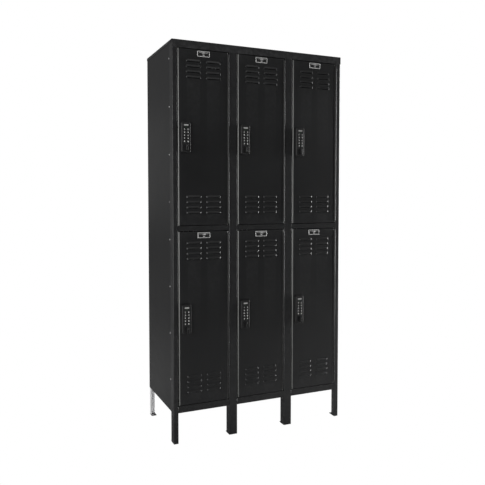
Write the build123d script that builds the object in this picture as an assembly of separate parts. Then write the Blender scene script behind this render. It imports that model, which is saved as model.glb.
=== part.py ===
from build123d import *
import math
import os

# Locker cabinet: a group of steel lockers on legs, one compartment behind each door.
# Millimetres. +X right, +Y towards the back, +Z up. The origin is on the floor, at the
# middle of the space that the whole object takes up.

# ---- driving dimensions ------------------------------------------------------------
columns = 3
body_width = 952.5
body_depth = 457.2
body_height = 1828.8
leg_height = 152.4

body_sheet = 0.8
frame_sheet = 1.5
door_sheet = 1.5
cap_sheet = 1.2
fit_gap = 0.3

stile_face = 24.0
mullion_face = 44.0
header_face = 38.0
mid_rail_face = 26.0
sill_face = 34.0
jamb_depth = 40.0
stile_band_past_jamb = 4.0
stile_flange_lap = 18.0
frame_bend = 1.2
cap_side_lip = 14.0
panel_flange = 16.0
rear_flange = 32.0
back_seam = 1.0
shelf_flange = 12.0

latch_gap = 4.0
hinge_gap = 4.0
edge_gap = 3.0
door_depth = 18.0
door_bend = 6.0

pin_radius = 1.5
pin_clearance = 0.05
knuckle_wall = 1.2
leaf_sheet = 1.2
hinge_proud = 1.5
hinge_inset = 8.0
knuckle_pitch = 58.0
knuckle_gap = 0.8
knuckle_relief = 0.7

louvre_width = 76.0
louvre_spacing = 103.0
louvre_rows = 4
louvre_pitch = 26.0
louvre_edge_distance = 59.0
louvre_radius = 11.0
louvre_sink = 5.5
louvre_slot = 2.6
louvre_slot_inset = 6.0

plate_width = 65.0
plate_height = 27.0
plate_thickness = 1.0
plate_drop = 5.0
rivet_radius = 2.2
rivet_head = 1.0

lock_offset = 35.0
lock_width = 46.0
lock_height = 147.0
lock_depth = 20.0
lock_corner = 8.0
key_columns = 2
key_rows = 5
key_column_spacing = 18.0
key_row_gap = 5.6
key_width = 12.0
key_corner = 2.5
key_proud = 1.8
key_travel = 1.0
key_body = 3.2
key_gap = 0.4
keys_drop = 31.5
keys_to_knob = 9.1
bar_width = 23.0
bar_height = 7.0
bar_drop = 15.0
bar_proud = 0.8
knob_rise = 23.0
knob_radius = 16.0
knob_length = 16.0
knob_grip = 9.0
knob_flange = 3.0
knob_gap = 0.6
spindle_radius = 4.0
spindle_hole_gap = 1.0
cam_width = 16.0
cam_thickness = 3.0
cam_catch = 9.0
cam_setback = 2.0
cam_screw_radius = 6.0
cam_screw_height = 3.0
rear_case_edge_gap = 3.0
rear_case_height = 120.0
rear_case_depth = 24.0
rear_case_rise = 14.0
rear_case_corner = 5.0

leg_foot_thickness = 3.0
anchor_hole_radius = 5.0
rear_leg_flange = 27.0
rear_leg_sheet = 2.0
rear_foot_length = 40.0
rear_leg_overlap = 26.0
front_foot_reach = 12.0
rear_hole_setback = 24.0

bolt_radius = 3.0
bolt_hole_gap = 0.2
bolt_head_radius = 6.0
bolt_head_height = 2.4
nut_radius = 5.5
nut_height = 5.0
side_bolts_per_tier = 4
side_bolt_ends = [(85.0, 130.0), (55.0, 161.0)]
back_bolts = 6
back_bolt_end = 70.0
wall_hole_radius = 4.0
wall_hole_drop = 120.0
wall_hole_rise = 200.0

hook_plate = 24.0
hook_plate_thickness = 1.6
hook_rod = 2.5
hook_reach = 26.0
hook_turn = 14.0
hook_drop = 70.0
hook_setback = 240.0
hook_stem = 22.0

# ---- places worked out from the driving dimensions -----------------------------------
front_projection = lock_depth + knob_gap + knob_flange + knob_length
rear_projection = bolt_head_height
front = (front_projection - rear_projection - body_depth) / 2
back = front + body_depth
left = -body_width / 2
top = leg_height + body_height
under_cap = top - cap_sheet
panels_top = under_cap - frame_bend
opening_width = (body_width - 2 * stile_face - (columns - 1) * mullion_face) / columns
column_pitch = opening_width + mullion_face
door_width = opening_width - latch_gap - hinge_gap
rail_centre = leg_height + body_height / 2
sill_top = leg_height + sill_face
header_bottom = top - header_face
openings_z = [
    (rail_centre + mid_rail_face / 2, header_bottom),
    (sill_top, rail_centre - mid_rail_face / 2),
]
lock_front = front - lock_depth
stile_band = jamb_depth + stile_band_past_jamb
stile_return = stile_band + stile_flange_lap
bolt_setback = stile_band + stile_flange_lap / 2
key_height = (
    lock_height - keys_drop - keys_to_knob - knob_radius - knob_rise - (key_rows - 1) * key_row_gap) / key_rows
key_pitch = key_height + key_row_gap
rear_case_width = 2 * (lock_offset - door_bend - rear_case_edge_gap)
first_key_drop = keys_drop + key_height / 2
key_rounding = min(key_corner, key_height / 2 - 0.2)
hinge_y = front - hinge_proud
partition_x = [left + stile_face + column_pitch * i - mullion_face / 2 for i in range(1, columns)]
column_left = [left + stile_face + column_pitch * i for i in range(columns)]
knuckle_radius = pin_radius + pin_clearance + knuckle_wall
stile_lap = body_sheet + frame_sheet
back_inner = back - body_sheet


def save(name, solids):
    """Write one node: a single solid, or a group of separate solids."""
    group = solids if isinstance(solids, list) else [solids]
    pieces = [one for shape in group for one in shape.solids()]
    whole = pieces[0] if len(pieces) == 1 else Compound(children=pieces)
    whole.label = name
    export_step(whole, os.path.join("parts", name + ".step"))


def block(x, y, z):
    """A box given by its low and high coordinate along each axis."""
    size = [high - low for low, high in (x, y, z)]
    middle = [(high + low) / 2 for low, high in (x, y, z)]
    return Pos(*middle) * Box(*size)


def rod(radius, start, end):
    """A round bar between two points."""
    line = Line(start, end)
    return extrude(Plane(start, z_dir=line % 0) * Circle(radius), amount=line.length)


def unite(shapes):
    """Fuse a list of touching shapes."""
    return shapes[0].fuse(*shapes[1:]) if len(shapes) > 1 else shapes[0]


def offset_corner(before, corner, after, distance):
    """The corner of a line that runs the given distance to the left of a bent line."""
    ax, ay = corner[0] - before[0], corner[1] - before[1]
    bx, by = after[0] - corner[0], after[1] - corner[1]
    la, lb = math.hypot(ax, ay), math.hypot(bx, by)
    na, nb = (-ay / la, ax / la), (-by / lb, bx / lb)
    share = distance / (1 + na[0] * nb[0] + na[1] * nb[1])
    return (corner[0] + (na[0] + nb[0]) * share, corner[1] + (na[1] + nb[1]) * share)


def turns_left(before, corner, after):
    """Whether a bent line turns left at a corner."""
    ax, ay = corner[0] - before[0], corner[1] - before[1]
    bx, by = after[0] - corner[0], after[1] - corner[1]
    return ax * by - ay * bx > 0


def bent_sheet(points, thickness, inner_radius):
    """The section of a folded sheet whose metal lies to the left of a line of points."""
    count = len(points)
    first = offset_corner(
        (2 * points[0][0] - points[1][0], 2 * points[0][1] - points[1][1]),
        points[0], points[1], thickness)
    last = offset_corner(
        points[-2], points[-1],
        (2 * points[-1][0] - points[-2][0], 2 * points[-1][1] - points[-2][1]), thickness)
    near_radii = []
    far_radii = []
    far = [first]
    for i in range(1, count - 1):
        trio = points[i - 1], points[i], points[i + 1]
        inside_is_far = turns_left(*trio)
        near_radii.append(inner_radius + thickness if inside_is_far else inner_radius)
        far_radii.append(inner_radius if inside_is_far else inner_radius + thickness)
        far.append(offset_corner(*trio, thickness))
    far.append(last)
    edges = FilletPolyline(*points, radius=near_radii).edges()
    edges += FilletPolyline(*far, radius=far_radii).edges()
    edges += [Edge.make_line(points[0], first), Edge.make_line(points[-1], last)]
    return make_face(Wire(edges))


def upright(section, low, high):
    """A plan section raised between two heights."""
    return Pos(0, 0, low) * extrude(section, amount=high - low)


def lengthwise(section, low, high):
    """A section drawn in (y, z), run along X between two places."""
    return extrude(Plane(origin=(low, 0, 0), x_dir=(0, 1, 0), z_dir=(1, 0, 0)) * section, amount=high - low)


# ---- bolts -----------------------------------------------------------------------------
def bolt(seat, direction, grip):
    """A truss-head bolt with its nut. The head sits outside at seat; the shank runs along direction."""
    head = Cylinder(bolt_head_radius, bolt_head_height, align=(Align.CENTER, Align.CENTER, Align.MAX))
    head = fillet(head.edges().group_by(Axis.Z)[0], bolt_head_height * 0.8)
    shank_length = grip + nut_height + 2
    shank = Cylinder(bolt_radius, shank_length, align=(Align.CENTER, Align.CENTER, Align.MIN))
    nut = extrude(RegularPolygon(nut_radius, 6), amount=nut_height)
    whole = unite([head, shank, Pos(0, 0, grip) * nut])
    return Plane(origin=seat, z_dir=direction) * whole


def bolt_hole(seat, direction):
    """The clearance hole for a bolt."""
    reach = 12.0
    hole = Cylinder(bolt_radius + bolt_hole_gap, 2 * reach)
    return Plane(origin=seat, z_dir=direction) * hole


def spread(low, high, count):
    """Evenly spaced places from low to high."""
    return [low + (high - low) * i / (count - 1) for i in range(count)]


tier_height = body_height / 2
side_bolt_z = []
for tier, (upper_gap, lower_gap) in enumerate(side_bolt_ends):
    tier_top = top - tier * tier_height
    side_bolt_z += spread(tier_top - tier_height + lower_gap, tier_top - upper_gap, side_bolts_per_tier)
back_bolt_z = spread(leg_height + back_bolt_end, top - back_bolt_end, back_bolts)


# ---- face frame --------------------------------------------------------------------------
def end_stile(side):
    """An end stile: jamb, face, outer band and the joggled flange that the side panel laps."""
    outer = left
    lapped = outer + body_sheet
    section = bent_sheet(
        [
            (outer, front + stile_band),
            (outer, front),
            (outer + stile_face, front),
            (outer + stile_face, front + jamb_depth),
        ],
        frame_sheet, frame_bend)
    flange = make_face(Polyline(
        (outer, front + stile_band), (lapped, front + stile_band), (lapped, front + stile_return),
        (lapped + frame_sheet, front + stile_return), (lapped + frame_sheet, front + stile_band - frame_sheet),
        (outer, front + stile_band - frame_sheet), close=True))
    band = block((outer, outer + frame_sheet), (front, front + stile_band), (header_bottom, panels_top))
    whole = upright(section, 0, header_bottom) + band + upright(flange, leg_height, panels_top)
    for z in side_bolt_z:
        whole -= bolt_hole((outer, front + bolt_setback, z), (1, 0, 0))
    return whole if side < 0 else mirror(whole, about=Plane.YZ)


def mullion(middle):
    """A channel between two columns that runs down to the floor as a front leg."""
    section = bent_sheet(
        [
            (middle - mullion_face / 2, front + jamb_depth),
            (middle - mullion_face / 2, front),
            (middle + mullion_face / 2, front),
            (middle + mullion_face / 2, front + jamb_depth),
        ],
        frame_sheet, frame_bend)
    return upright(section, 0, header_bottom)


def rail(low_x, high_x, low_z, high_z):
    """A channel rail with its face at the front and its two flanges pointing back."""
    section = bent_sheet(
        [
            (front + jamb_depth, high_z), (front, high_z), (front, low_z), (front + jamb_depth, low_z),
        ],
        frame_sheet, frame_bend)
    return lengthwise(section, low_x, high_x)


# ---- body sheets -----------------------------------------------------------------------
def side_panel(side):
    """A side panel that laps the stile and turns in at the back, with joining bolt holes."""
    section = bent_sheet(
        [
            (left + rear_flange, back_inner), (left, back_inner), (left, front + stile_band),
        ],
        body_sheet, frame_bend)
    whole = upright(section, leg_height, panels_top)
    for z in side_bolt_z:
        whole -= bolt_hole((left, front + bolt_setback, z), (1, 0, 0))
    for z in back_bolt_z:
        whole -= bolt_hole((left + rear_flange / 2, back_inner, z), (0, 1, 0))
    return whole if side < 0 else mirror(whole, about=Plane.YZ)


def partition(x):
    """The wall between two columns, flanged behind the mullion and behind the back panels."""
    section = bent_sheet(
        [
            (x + rear_flange, back_inner), (x, back_inner),
            (x, front + frame_sheet), (x + panel_flange, front + frame_sheet),
        ],
        body_sheet, frame_bend)
    whole = upright(section, leg_height, header_bottom)
    behind_header = block((x, x + body_sheet), (front + jamb_depth, back_inner), (header_bottom, panels_top))
    whole += behind_header
    for z in back_bolt_z:
        for share in (0.25, 0.75):
            whole -= bolt_hole((x + rear_flange * share, back_inner, z), (0, 1, 0))
    return whole


def wall_faces(column):
    """The two inner wall surfaces of a column."""
    low = left + body_sheet if column == 0 else partition_x[column - 1] + body_sheet
    high = -left - body_sheet if column == columns - 1 else partition_x[column]
    return low, high


def back_edges(column):
    """The left and right edges of a column's back panel, which meet behind the rear flanges."""
    low = left if column == 0 else partition_x[column - 1] + rear_flange / 2 + back_seam / 2
    high = -left if column == columns - 1 else partition_x[column] + rear_flange / 2 - back_seam / 2
    return low, high


def back_bolt_x(column):
    """The two bolt rows of a column's back panel."""
    low = left + rear_flange / 2 if column == 0 else partition_x[column - 1] + rear_flange * 0.75
    high = -left - rear_flange / 2 if column == columns - 1 else partition_x[column] + rear_flange * 0.25
    return low, high


wall_hole_z = [leg_height + wall_hole_rise, top - wall_hole_drop]


def back_panel(column):
    """A back panel with its bolt holes and, in the end columns, two wall fixing holes."""
    whole = block(back_edges(column), (back_inner, back), (leg_height, panels_top))
    for x in back_bolt_x(column):
        for z in back_bolt_z:
            whole -= bolt_hole((x, back, z), (0, 1, 0))
    if column in (0, columns - 1):
        x = column_left[column] + opening_width / 2
        for z in wall_hole_z:
            whole -= rod(wall_hole_radius, (x, back_inner - 1, z), (x, back + 1, z))
    return whole


def shelf(column, z):
    """A shelf pan: a tongue between the jambs, and flanges that turn up at the walls and the back."""
    low, high = wall_faces(column)
    low += frame_sheet if column == 0 else 0
    high -= frame_sheet if column == columns - 1 else 0
    open_left = column_left[column]
    open_right = open_left + opening_width
    tongue_front = front + frame_sheet + frame_bend
    flange_front = front + stile_return + body_sheet
    rear_edge = back_inner - body_sheet - frame_bend
    turned_up = (z, z + shelf_flange)
    tongue = block((open_left, open_right), (tongue_front, front + jamb_depth + 1), (z, z + body_sheet))
    plate = block((low, high), (front + jamb_depth, rear_edge), (z, z + body_sheet))
    left_flange = block((low, low + body_sheet), (flange_front, rear_edge), turned_up)
    right_flange = block((high - body_sheet, high), (flange_front, rear_edge), turned_up)
    rear = block((low, high), (rear_edge - body_sheet, rear_edge), turned_up)
    return unite([tongue, plate, left_flange, right_flange, rear])


def top_panel():
    """The top pan: its front lip covers the header rail, and short lips turn down at sides and back."""
    section = bent_sheet(
        [
            (back + cap_sheet, top - cap_side_lip), (back + cap_sheet, top),
            (front - cap_sheet, top), (front - cap_sheet, header_bottom),
        ],
        cap_sheet, frame_bend)
    whole = lengthwise(section, left - cap_sheet, -left + cap_sheet)
    for low, high in ((left - cap_sheet, left), (-left, -left + cap_sheet)):
        whole += block((low, high), (front - cap_sheet, back + cap_sheet), (top - cap_side_lip, top - cap_sheet / 2))
    return whole


# ---- legs and feet -------------------------------------------------------------------------
rear_leg_x = [left + body_sheet] + [x + body_sheet for x in partition_x]
rear_leg_y = back_inner - body_sheet
leg_x = [left + stile_face / 2] + partition_x + [-left - stile_face / 2]
front_hole_y = front + frame_sheet + (jamb_depth + front_foot_reach - frame_sheet) / 2
rear_hole_y = rear_leg_y - rear_hole_setback


def rear_leg(x, side):
    """An angle leg inside a rear corner of a column; it stands on its foot plate."""
    section = bent_sheet(
        [
            (x + side * rear_leg_flange, rear_leg_y), (x, rear_leg_y), (x, rear_leg_y - rear_leg_flange),
        ] if side > 0 else [
            (x, rear_leg_y - rear_leg_flange), (x, rear_leg_y), (x - rear_leg_flange, rear_leg_y),
        ],
        rear_leg_sheet, frame_bend)
    return upright(section, leg_foot_thickness, leg_height + rear_leg_overlap)


def anchor_plate(x_range, y_range, hole_x, hole_y):
    """A foot plate with its floor anchor hole."""
    plate = block(x_range, y_range, (0, leg_foot_thickness))
    return plate - rod(anchor_hole_radius, (hole_x, hole_y, -1), (hole_x, hole_y, leg_foot_thickness + 1))


def front_feet():
    """The plates that close the bottom of the front legs."""
    feet = []
    for i, x in enumerate(leg_x):
        face = stile_face if i in (0, columns) else mullion_face
        x_range = (x - face / 2 + frame_sheet, x + face / 2 - frame_sheet)
        y_range = (front + frame_sheet + frame_bend, front + jamb_depth + front_foot_reach)
        feet.append(anchor_plate(x_range, y_range, x, front_hole_y))
    return feet


def rear_feet():
    """The plates under the rear legs, which reach forward to the anchor hole."""
    feet = []
    for i, x in enumerate(rear_leg_x + [-left - body_sheet]):
        side = -1 if i == columns else 1
        edges = sorted((x, x + side * rear_leg_flange))
        hole_x = leg_x[i] if i in (0, columns) else x + rear_leg_flange / 2
        feet.append(anchor_plate(edges, (rear_leg_y - rear_foot_length, rear_leg_y), hole_x, rear_hole_y))
    return feet


# ---- hinges --------------------------------------------------------------------------------
def knuckle_edges(low, high):
    """The heights that divide a hinge into an odd number of equal knuckles."""
    pairs = max(1, round((high - low) / (2 * knuckle_pitch)))
    return spread(low, high, 2 * pairs + 2)


def hinge_leaf(axis_x, low, high, side, depth):
    """One leaf of a continuous hinge: a strip behind the pin, and every other knuckle."""
    plate_x = sorted((axis_x + side * hinge_gap / 2, axis_x + side * (hinge_gap / 2 - leaf_sheet)))
    strip_front = hinge_y + knuckle_radius + knuckle_relief
    pieces = [block(plate_x, (strip_front, depth), (low, high))]
    edges = knuckle_edges(low, high)
    first = 0 if side > 0 else 1
    for i in range(first, len(edges) - 1, 2):
        knuckle_low = edges[i] + (knuckle_gap / 2 if i > 0 else 0)
        knuckle_high = edges[i + 1] - (knuckle_gap / 2 if i < len(edges) - 2 else 0)
        pieces.append(rod(knuckle_radius, (axis_x, hinge_y, knuckle_low), (axis_x, hinge_y, knuckle_high)))
        tab_y = (hinge_y + pin_radius + pin_clearance + fit_gap, strip_front)
        pieces.append(block(plate_x, tab_y, (knuckle_low, knuckle_high)))
    whole = unite(pieces)
    return whole - rod(pin_radius + pin_clearance, (axis_x, hinge_y, low - 1), (axis_x, hinge_y, high + 1))


# ---- doors ---------------------------------------------------------------------------------
def rounded_plate(width, height, corner, y_range):
    """A plate that faces the front, with rounded corners, about the middle of its own face."""
    outline = RectangleRounded(width, height, corner)
    low, high = y_range
    return extrude(Plane(origin=(0, high, 0), x_dir=(1, 0, 0), z_dir=(0, -1, 0)) * outline, amount=high - low)


def capsule(radius, half_length, middle):
    """A round bar along X with ball ends."""
    x, y, z = middle
    bar = rod(radius, (x - half_length, y, z), (x + half_length, y, z))
    return unite([bar, Pos(x - half_length, y, z) * Sphere(radius), Pos(x + half_length, y, z) * Sphere(radius)])


def louvre_tools():
    """The pressed hood of one louvre, and the hollow and slot behind it, with the hood's lip at height 0."""
    half_foot = math.sqrt(louvre_radius ** 2 - louvre_sink ** 2)
    half_length = louvre_width / 2 - half_foot
    middle = (0, front + louvre_sink, 0)
    reach = louvre_width
    above = (0, 2 * louvre_radius)
    hood_space = block((-reach, reach), (front - louvre_radius, front + door_sheet / 2), above)
    hollow_space = block((-reach, reach), (front - louvre_radius, front + door_sheet + 1), above)
    hood = capsule(louvre_radius, half_length, middle) & hood_space
    hollow = capsule(louvre_radius - body_sheet, half_length, middle) & hollow_space
    slot_reach = louvre_width / 2 - louvre_slot_inset
    slot = block((-slot_reach, slot_reach), (front - 1, front + door_sheet + 1), (-louvre_slot, 1))
    return hood, hollow + slot


def door_panel(door_left, low, high):
    """A folded door pan with rounded upright edges and two groups of pressed louvres."""
    door_right = door_left + door_width
    section = bent_sheet(
        [
            (door_left, front + door_depth), (door_left, front),
            (door_right, front), (door_right, front + door_depth),
        ],
        door_sheet, door_bend - door_sheet)
    pieces = [upright(section, low, high)]
    for z_range in ((low, low + door_sheet), (high - door_sheet, high)):
        cap = block((door_left, door_right), (front, front + door_depth), z_range)
        pieces.append(fillet(cap.edges().filter_by(Axis.Z).group_by(Axis.Y)[0], door_bend))
    hood, hollow = louvre_tools()
    middle = (door_left + door_right) / 2
    lowest = [low + louvre_edge_distance, high - louvre_edge_distance - (louvre_rows - 1) * louvre_pitch]
    places = [
        Pos(middle + side * louvre_spacing / 2, 0, start + row * louvre_pitch)
        for start in lowest for row in range(louvre_rows) for side in (-1, 1)
    ]
    pan = unite(pieces + [place * hood for place in places])
    return pan.cut(*[place * hollow for place in places])


def number_plate(middle, door_top):
    """A number plate with its two rivets."""
    z = door_top - plate_drop - plate_height / 2
    plate = Pos(middle, 0, z) * rounded_plate(plate_width, plate_height, 2, (front - plate_thickness, front))
    rivets = []
    for side in (-1, 1):
        x = middle + side * (plate_width / 2 - 2 * rivet_radius)
        high = z + plate_height / 2 - 2 * rivet_radius
        rivet_front = front - plate_thickness - rivet_head
        head = rod(rivet_radius, (x, front - plate_thickness, high), (x, rivet_front, high))
        rivets.append(fillet(head.edges().group_by(Axis.Y)[0], rivet_head / 2))
    return [plate] + rivets


# ---- locks ---------------------------------------------------------------------------------
def key_places(lock_x, lock_z):
    """The middles of the keys of one lock."""
    first = lock_z + lock_height / 2 - first_key_drop
    return [
        (lock_x + (column - (key_columns - 1) / 2) * key_column_spacing, first - row * key_pitch)
        for row in range(key_rows) for column in range(key_columns)
    ]


def lock_housing(lock_x, lock_z):
    """The outer lock case with its key pockets and spindle bore, and its status bar."""
    case = Pos(lock_x, 0, lock_z) * rounded_plate(lock_width, lock_height, lock_corner, (lock_front, front))
    case = fillet(case.edges().group_by(Axis.Y)[0], 3)
    pocket_floor = lock_front + key_body + key_travel + fit_gap
    pocket = rounded_plate(
        key_width + 2 * key_gap, key_height + 2 * key_gap, key_rounding + key_gap, (lock_front - 1, pocket_floor))
    for x, z in key_places(lock_x, lock_z):
        case -= Pos(x, 0, z) * pocket
    knob_z = lock_z - lock_height / 2 + knob_rise
    case -= rod(spindle_radius + pin_clearance, (lock_x, lock_front - 1, knob_z), (lock_x, front + 1, knob_z))
    bar_z = lock_z + lock_height / 2 - bar_drop
    bar = Pos(lock_x, 0, bar_z) * rounded_plate(bar_width, bar_height, 2, (lock_front - bar_proud, lock_front))
    return [case, bar]


def lock_keys(lock_x, lock_z):
    """The ten keys of one lock."""
    y_range = (lock_front - key_proud, lock_front + key_body)
    key = rounded_plate(key_width, key_height, key_rounding, y_range)
    key = fillet(key.edges().group_by(Axis.Y)[0], 0.8)
    return [Pos(x, 0, z) * key for x, z in key_places(lock_x, lock_z)]


def lock_knob(lock_x, lock_z, catch_x):
    """The knob with its spindle, the cam that turns behind the jamb, and the screw that holds the cam."""
    z = lock_z - lock_height / 2 + knob_rise
    flange_back = lock_front - knob_gap
    flange_front = flange_back - knob_flange
    cam_front = front + jamb_depth + cam_setback
    cam_back = cam_front + cam_thickness
    disc = rod(knob_radius, (lock_x, flange_back, z), (lock_x, flange_front, z))
    grip = rounded_plate(knob_grip, 2 * knob_radius - 2, knob_grip / 2 - 0.5, (flange_front - knob_length, flange_front))
    grip = fillet(grip.edges().group_by(Axis.Y)[0], 2)
    spindle = rod(spindle_radius, (lock_x, flange_back, z), (lock_x, cam_back, z))
    knob = unite([disc, Pos(lock_x, 0, z) * grip, spindle])
    reach = lock_x - catch_x
    cam = block((lock_x - cam_width / 2, lock_x + cam_width / 2), (cam_front, cam_back), (z - reach, z + cam_width / 2))
    cam = fillet(cam.edges().filter_by(Axis.Y), cam_width / 4)
    cam -= rod(spindle_radius + pin_clearance, (lock_x, cam_front - 1, z), (lock_x, cam_back + 1, z))
    screw = rod(cam_screw_radius, (lock_x, cam_back, z), (lock_x, cam_back + cam_screw_height, z))
    return [knob, cam, screw]


def lock_rear_case(lock_x, lock_z):
    """The battery and motor case on the inside of a door, above the spindle."""
    low = lock_z - lock_height / 2 + knob_rise + rear_case_rise
    inside = front + door_sheet
    case = rounded_plate(rear_case_width, rear_case_height, rear_case_corner, (inside, inside + rear_case_depth))
    case = fillet(case.edges().group_by(Axis.Y)[-1], rear_case_corner / 2)
    return Pos(lock_x, 0, low + rear_case_height / 2) * case


# ---- coat hooks ------------------------------------------------------------------------------
def bent_rod(points):
    """A round hook rod through several points, with ball joints at its corners and tip."""
    pieces = [rod(hook_rod, start, end) for start, end in zip(points, points[1:])]
    pieces += [Pos(*point) * Sphere(hook_rod) for point in points[1:]]
    return unite(pieces)


def side_hook(wall_x, direction, z):
    """A single hook on a side wall."""
    y = front + hook_setback
    half = hook_plate / 2
    plate_x = sorted((wall_x, wall_x + direction * hook_plate_thickness))
    plate = block(plate_x, (y - half, y + half), (z - half, z + half))
    tip_x = wall_x + direction * hook_reach
    arm = bent_rod([(wall_x + direction * 1, y, z), (tip_x, y, z), (tip_x + direction * 3, y, z + hook_turn)])
    return plate + arm


def ceiling_hook(x, ceiling):
    """A double hook under the top of a compartment."""
    y = front + hook_setback
    half = hook_plate / 2
    plate = block((x - half, x + half), (y - half, y + half), (ceiling - hook_plate_thickness, ceiling))
    low = ceiling - hook_stem
    pieces = [plate, rod(hook_rod, (x, y, ceiling - 1), (x, y, low))]
    for side in (-1, 1):
        end = x + side * hook_reach
        pieces.append(bent_rod([(x, y, low), (end, y, low), (end + side * 3, y, low + hook_turn)]))
    pieces.append(Pos(x, y, low) * Sphere(hook_rod))
    return unite(pieces)


# ---- assembly ----------------------------------------------------------------------------------
mid_shelf_z = rail_centre - mid_rail_face / 2 + frame_sheet
bottom_shelf_z = sill_top - frame_sheet - body_sheet
ceilings = [under_cap, mid_shelf_z]

os.makedirs("parts", exist_ok=True)

save("end_stiles", [end_stile(side) for side in (-1, 1)])
save("mullions", [mullion(x) for x in partition_x])
save("header_rail", rail(left + frame_sheet, -left - frame_sheet, header_bottom, under_cap))
save("side_panels", [side_panel(side) for side in (-1, 1)])
save("partitions", [partition(x) for x in partition_x])
save("top_panel", top_panel())
save("back_panels", [back_panel(i) for i in range(columns)])
save("mid_shelves", [shelf(i, mid_shelf_z) for i in range(columns)])
save("bottom_shelves", [shelf(i, bottom_shelf_z) for i in range(columns)])
save("rear_legs", [rear_leg(x, 1) for x in rear_leg_x] + [rear_leg(-left - body_sheet, -1)])
save("front_feet", front_feet())
save("rear_feet", rear_feet())

mid_rails = []
sill_rails = []
frame_leaves = []
pins = []
hooks = []
number = 0
for tier, (opening_low, opening_high) in enumerate(openings_z):
    low = opening_low + edge_gap
    high = opening_high - edge_gap
    for column in range(columns):
        number += 1
        open_left = column_left[column]
        door_left = open_left + latch_gap
        axis_x = open_left + opening_width - hinge_gap / 2
        lock_x = door_left + lock_offset
        lock_z = (low + high) / 2
        hinge_low = low + hinge_inset
        hinge_high = high - hinge_inset

        door = door_panel(door_left, low, high)
        knob_z = lock_z - lock_height / 2 + knob_rise
        door -= rod(spindle_radius + spindle_hole_gap, (lock_x, front - 1, knob_z), (lock_x, front + 9, knob_z))
        save(f"door_panel_{number}", door)
        leaf = hinge_leaf(axis_x, hinge_low, hinge_high, -1, front + door_depth - 1)
        save(f"hinge_door_leaf_{number}", leaf)
        save(f"number_plate_{number}", number_plate(door_left + door_width / 2, high))
        save(f"lock_housing_{number}", lock_housing(lock_x, lock_z))
        save(f"lock_keys_{number}", lock_keys(lock_x, lock_z))
        save(f"lock_knob_{number}", lock_knob(lock_x, lock_z, open_left - cam_catch))
        save(f"lock_rear_case_{number}", lock_rear_case(lock_x, lock_z))

        frame_leaves.append(hinge_leaf(axis_x, hinge_low, hinge_high, 1, front + jamb_depth - 4))
        pins.append(rod(pin_radius, (axis_x, hinge_y, hinge_low), (axis_x, hinge_y, hinge_high)))
        ceiling = ceilings[tier]
        wall_low, wall_high = wall_faces(column)
        hooks.append(ceiling_hook(open_left + opening_width / 2, ceiling))
        hooks.append(side_hook(wall_low, 1, ceiling - hook_drop))
        hooks.append(side_hook(wall_high, -1, ceiling - hook_drop))

for open_left in column_left:
    ends = (open_left, open_left + opening_width)
    mid_rails.append(rail(*ends, rail_centre - mid_rail_face / 2, rail_centre + mid_rail_face / 2))
    sill_rails.append(rail(*ends, leg_height, sill_top))

save("mid_rails", mid_rails)
save("sill_rails", sill_rails)
save("hinge_frame_leaves", frame_leaves)
save("hinge_pins", pins)
save("coat_hooks", hooks)

bolts = []
for z in side_bolt_z:
    bolts.append(bolt((left, front + bolt_setback, z), (1, 0, 0), stile_lap))
    bolts.append(bolt((-left, front + bolt_setback, z), (-1, 0, 0), stile_lap))
for column in range(columns):
    for x in back_bolt_x(column):
        bolts += [bolt((x, back, z), (0, -1, 0), 2 * body_sheet) for z in back_bolt_z]
save("fasteners", bolts)
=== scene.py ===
import math

import bmesh
import bpy
from mathutils import Matrix, Vector


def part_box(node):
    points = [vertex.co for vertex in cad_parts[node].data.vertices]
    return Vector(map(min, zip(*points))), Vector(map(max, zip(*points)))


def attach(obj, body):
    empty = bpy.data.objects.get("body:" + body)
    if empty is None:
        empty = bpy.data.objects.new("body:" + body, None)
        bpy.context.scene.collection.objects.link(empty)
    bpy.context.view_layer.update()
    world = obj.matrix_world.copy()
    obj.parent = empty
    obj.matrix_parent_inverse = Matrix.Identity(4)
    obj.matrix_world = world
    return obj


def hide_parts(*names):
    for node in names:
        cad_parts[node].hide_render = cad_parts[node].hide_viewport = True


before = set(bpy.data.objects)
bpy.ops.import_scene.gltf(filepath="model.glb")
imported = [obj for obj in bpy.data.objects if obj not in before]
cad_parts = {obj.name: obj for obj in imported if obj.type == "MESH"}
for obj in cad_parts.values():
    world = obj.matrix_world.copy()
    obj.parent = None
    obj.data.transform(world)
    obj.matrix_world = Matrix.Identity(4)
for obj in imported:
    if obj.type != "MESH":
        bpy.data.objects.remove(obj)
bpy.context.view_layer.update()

# A three-wide, two-high steel locker group on legs. Metres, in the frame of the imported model.
door_numbers = range(1, 7)
mm = 0.001

# ---- sizes shared by several pieces --------------------------------------------------------
frame_sheet = 1.5 * mm
door_sheet = 1.5 * mm
body_sheet = 0.8 * mm
cap_sheet = 1.2 * mm
frame_bend = 2.7 * mm
cap_bend = 2.4 * mm
bend_steps = 8
fold_margin = 0.0008
door_depth = 18 * mm
door_bend = 6 * mm
door_edge = 1.2 * mm
louvre_width = 76 * mm
louvre_spacing = 103 * mm
louvre_rows = 4
louvre_pitch = 26 * mm
louvre_edge_distance = 59 * mm
louvre_rise = 11 * mm
louvre_projection = 5.4 * mm
louvre_slot = 2.6 * mm
louvre_end_length = 11 * mm
louvre_grid_margin = 0.6 * mm
louvre_open_share = 0.95
stile_inner_return = 28 * mm
stile_face = 24 * mm
stile_band = 44 * mm
cap_side_lip = 14 * mm
key_size = (12 * mm, 9 * mm)
key_rows = 5
bar_height_span = 20 * mm
bar_side_margin = 7 * mm


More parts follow.
